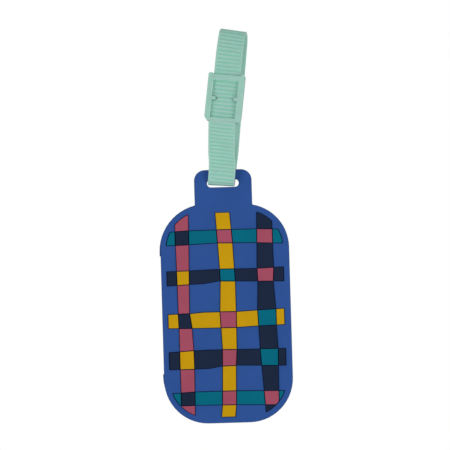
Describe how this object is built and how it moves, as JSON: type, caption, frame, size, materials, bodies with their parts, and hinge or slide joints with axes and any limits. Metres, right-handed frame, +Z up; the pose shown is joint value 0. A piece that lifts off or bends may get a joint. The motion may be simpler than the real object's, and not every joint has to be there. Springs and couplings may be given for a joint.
{
  "type": "luggage tag",
  "caption": "Soft-plastic luggage tag with a plaid of raised coloured inlays, a card pocket behind, and a ribbed strap that loops through its slot and closes in a windowed buckle.",
  "frame": {"origin": "inside top of the strap's fold, where the loop hangs on a handle", "axes": "+Z up, the tag's plaid face points along -Y, +X to the right seen from the front"},
  "size_m": [0.0607, 0.0216, 0.1843],
  "materials": {
    "blue_soft_plastic": "satin, moulded soft plastic",
    "pink_soft_plastic": "satin, moulded soft plastic",
    "yellow_soft_plastic": "satin, moulded soft plastic",
    "teal_soft_plastic": "satin, moulded soft plastic",
    "navy_soft_plastic": "satin, moulded soft plastic",
    "mint_soft_plastic": "satin, moulded soft plastic",
    "clear_sheet": "clear, glossy",
    "card": "matt card"
  },
  "bodies": {
    "strap": {"strap_upper_run": "mint_soft_plastic"},
    "bight": {"strap_lower_run": "mint_soft_plastic"},
    "buckle": {"buckle": "mint_soft_plastic"},
    "tag": {"front_panel": "blue_soft_plastic", "back_panel": "blue_soft_plastic", "window_sheet": "clear_sheet", "crossing_centre_row1": "pink_soft_plastic", "crossing_centre_row2": "teal_soft_plastic", "crossing_centre_row3": "pink_soft_plastic", "crossing_centre_row4": "pink_soft_plastic", "crossing_centre_row5": "pink_soft_plastic", "crossing_left_row1": "navy_soft_plastic", "crossing_left_row2": "yellow_soft_plastic", "crossing_left_row3": "navy_soft_plastic", "crossing_left_row4": "yellow_soft_plastic", "crossing_left_row5": "navy_soft_plastic", "crossing_right_row1": "pink_soft_plastic", "crossing_right_row2": "pink_soft_plastic", "crossing_right_row3": "teal_soft_plastic", "crossing_right_row4": "teal_soft_plastic", "crossing_right_row5": "pink_soft_plastic", "navy_right_1": "navy_soft_plastic", "navy_right_2": "navy_soft_plastic", "navy_right_3": "navy_soft_plastic", "navy_right_4": "navy_soft_plastic", "navy_right_5": "navy_soft_plastic", "navy_right_6": "navy_soft_plastic", "navy_row2_1": "navy_soft_plastic", "navy_row2_2": "navy_soft_plastic", "navy_row2_3": "navy_soft_plastic", "navy_row2_4": "navy_soft_plastic", "navy_row4_1": "navy_soft_plastic", "navy_row4_2": "navy_soft_plastic", "navy_row4_3": "navy_soft_plastic", "navy_row4_4": "navy_soft_plastic", "pink_left_1": "pink_soft_plastic", "pink_left_2": "pink_soft_plastic", "pink_left_3": "pink_soft_plastic", "pink_left_4": "pink_soft_plastic", "pink_left_5": "pink_soft_plastic", "pink_left_6": "pink_soft_plastic", "teal_row1_1": "teal_soft_plastic", "teal_row1_2": "teal_soft_plastic", "teal_row1_3": "teal_soft_plastic", "teal_row1_4": "teal_soft_plastic", "teal_row5_1": "teal_soft_plastic", "teal_row5_2": "teal_soft_plastic", "teal_row5_3": "teal_soft_plastic", "teal_row5_4": "teal_soft_plastic", "yellow_centre_1": "yellow_soft_plastic", "yellow_centre_2": "yellow_soft_plastic", "yellow_centre_3": "yellow_soft_plastic", "yellow_centre_4": "yellow_soft_plastic", "yellow_centre_5": "yellow_soft_plastic", "yellow_centre_6": "yellow_soft_plastic", "yellow_row3_1": "yellow_soft_plastic", "yellow_row3_2": "yellow_soft_plastic", "yellow_row3_3": "yellow_soft_plastic", "yellow_row3_4": "yellow_soft_plastic"},
    "card": {"address_card": "card"}
  },
  "joints": [
    {"name": "loop_slide", "type": "slide", "parent": "strap", "child": "bight", "axis": [-0.1115, 0, -0.9938], "range_m": [0, 0.011], "deforming": ["strap_lower_run"]},
    {"name": "tail_slide", "type": "slide", "parent": "bight", "child": "buckle", "axis": [-0.145, -0.2704, -0.9518], "range_m": [0, 0.0113]},
    {"name": "tag_swing", "type": "hinge", "parent": "bight", "child": "tag", "pos_m": [-0.00722, 0.00124, -0.06591], "axis": [1, 0, 0], "range_deg": [-100, 100]},
    {"name": "card_slide", "type": "slide", "parent": "tag", "child": "card", "axis": [-1, 0, 0], "range_m": [0, 0.05]}
  ],
  "couplings": [
    {"joint": "tail_slide", "follows": "loop_slide", "ratio": 1.0193}
  ]
}
